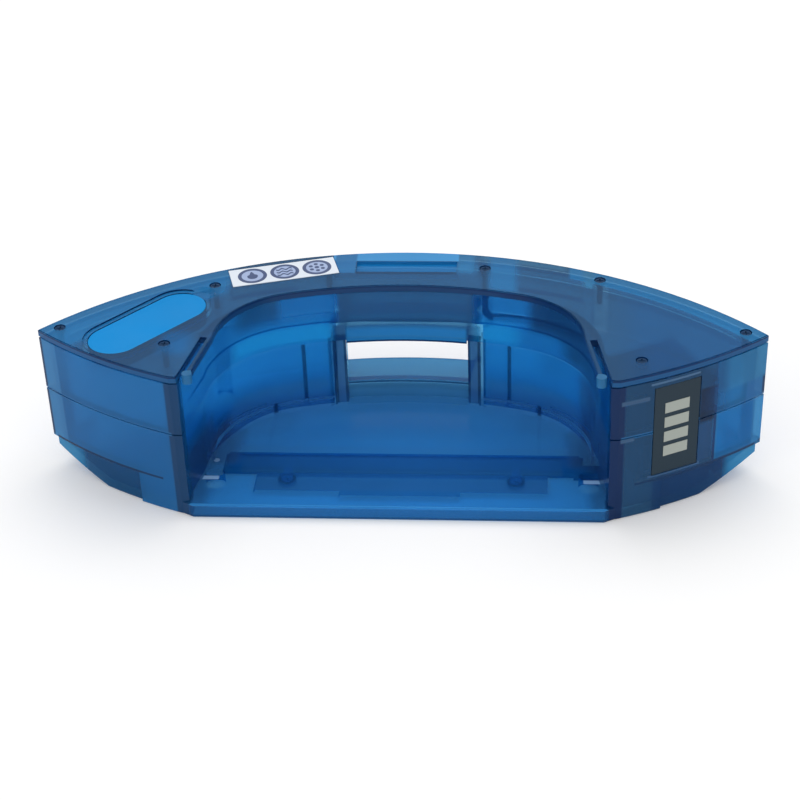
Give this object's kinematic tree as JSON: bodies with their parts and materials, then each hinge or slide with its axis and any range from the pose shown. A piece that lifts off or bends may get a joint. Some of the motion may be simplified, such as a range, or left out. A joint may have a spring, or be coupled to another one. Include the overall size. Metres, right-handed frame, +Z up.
{
  "type": "robot vacuum water tank",
  "caption": "Crescent-shaped translucent water tank for a round robot vacuum, with a dust box bay, a rear window, a stoppered filler and a built-in pump.",
  "frame": {"origin": "bottom centre of the tank: middle of its width and depth, at the height of the flat underside", "axes": "+X along the width, towards the contact board end; +Y from the open mouth of the bay to the rear arc; +Z up"},
  "size_m": [0.248, 0.0874, 0.0555],
  "materials": {
    "tank_blue": "gloss, tinted translucent",
    "cover_blue": "satin gloss, tinted translucent",
    "seal": "satin",
    "stopper": "matte silicone",
    "board": "solder mask",
    "pads": "plated",
    "ivory": "satin",
    "leads": "matte",
    "label": "matte print",
    "screws": "dark plated",
    "inner_blue": "satin",
    "pump_black": "satin",
    "pad_rubber": "matte foam",
    "tubes": "silicone",
    "filter": "satin",
    "air_black": "matte"
  },
  "bodies": {
    "root": {"lower_body": "tank_blue", "upper_body": "tank_blue", "cover_plate": "cover_blue", "cover_seal": "seal", "filler_plug": "stopper", "contact_board": "board", "contact_pads": "pads", "board_plug": "ivory", "pump_leads": "leads", "label_sheet": "label", "cover_screws": "screws", "chamber_lid": "inner_blue", "pump": "pump_black", "pump_pad": "pad_rubber", "feed_tube": "tubes", "suction_tube": "tubes", "inlet_filter": "filter", "air_tube": "air_black", "duct_strip": "inner_blue", "outlet_nozzles": "air_black"}
  },
  "joints": []
}
